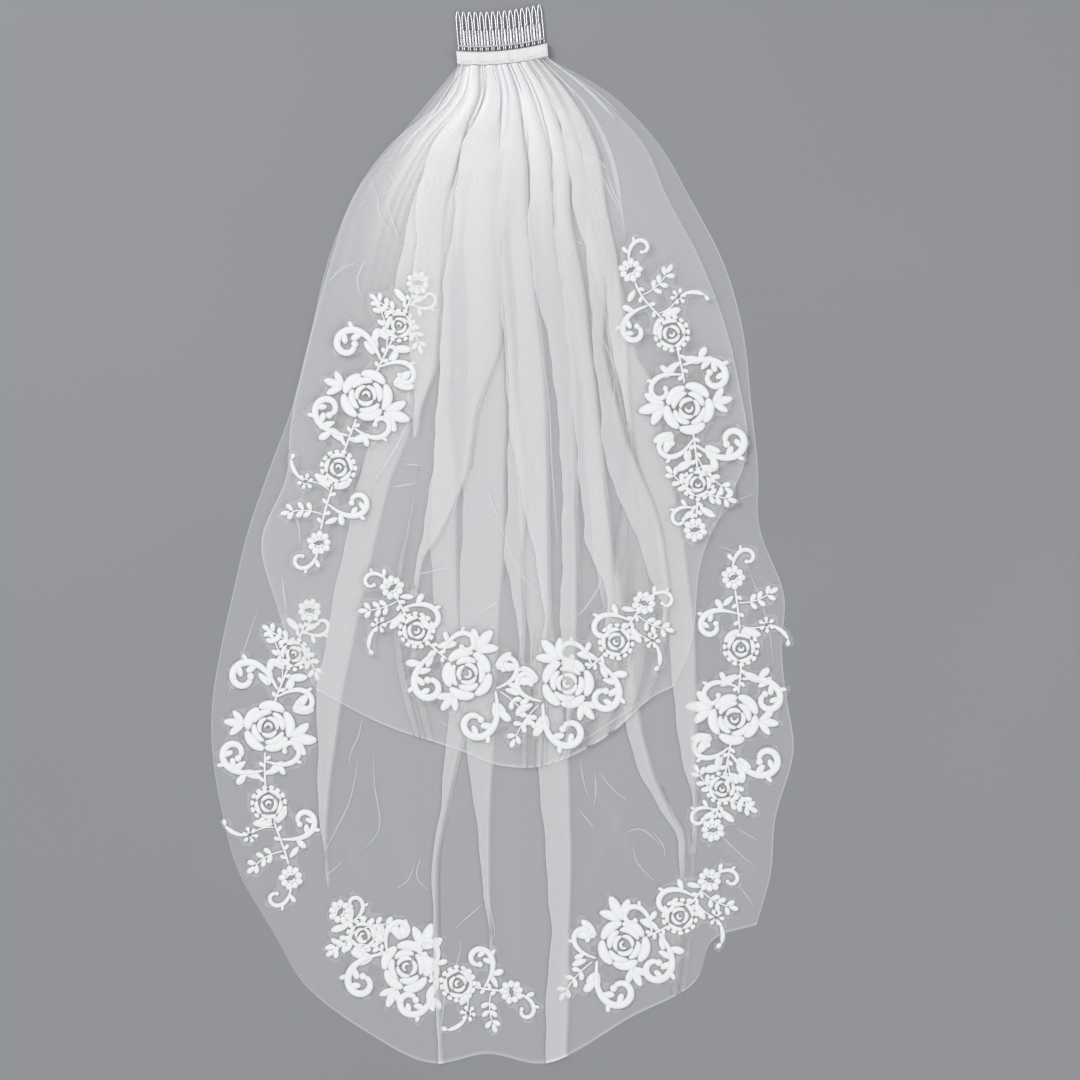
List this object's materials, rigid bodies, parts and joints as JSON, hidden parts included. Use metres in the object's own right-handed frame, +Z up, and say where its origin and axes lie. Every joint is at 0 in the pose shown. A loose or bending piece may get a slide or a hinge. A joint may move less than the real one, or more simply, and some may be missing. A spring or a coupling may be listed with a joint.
{
  "type": "bridal veil on a comb",
  "caption": "Two-tier white tulle bridal veil laid flat, gathered under a ribbon band on a wire hair comb, with raised floral lace sprays along both hems.",
  "frame": {"origin": "on the surface the veil lies on, under the middle of the whole outline", "axes": "+X to the right across the veil, +Y from the hem up to the comb, +Z up from the surface"},
  "size_m": [0.5176, 0.942, 0.0078],
  "materials": {
    "tulle": "sheer soft net, matt with a faint sheen",
    "lace": "corded embroidery in satin stitch",
    "ribbon": "satin ribbon",
    "comb_wire": "bright bent wire"
  },
  "bodies": {
    "root": {"lower_tier": "tulle", "upper_tier": "tulle", "upper_spray_left": "lace", "upper_spray_right": "lace", "upper_spray_hem_left": "lace", "upper_spray_hem_right": "lace", "lower_spray_left": "lace", "lower_spray_right": "lace", "lower_spray_hem_left": "lace", "lower_spray_hem_right": "lace", "comb_band": "ribbon", "comb_tooth_01": "comb_wire", "comb_tooth_02": "comb_wire", "comb_tooth_03": "comb_wire", "comb_tooth_04": "comb_wire", "comb_tooth_05": "comb_wire", "comb_tooth_06": "comb_wire", "comb_tooth_07": "comb_wire", "comb_tooth_08": "comb_wire", "comb_tooth_09": "comb_wire", "comb_tooth_10": "comb_wire", "comb_tooth_11": "comb_wire", "comb_tooth_12": "comb_wire", "comb_tooth_13": "comb_wire", "comb_tooth_14": "comb_wire", "comb_tooth_15": "comb_wire", "comb_bar_lower": "comb_wire", "comb_bar_upper": "comb_wire"}
  },
  "joints": []
}
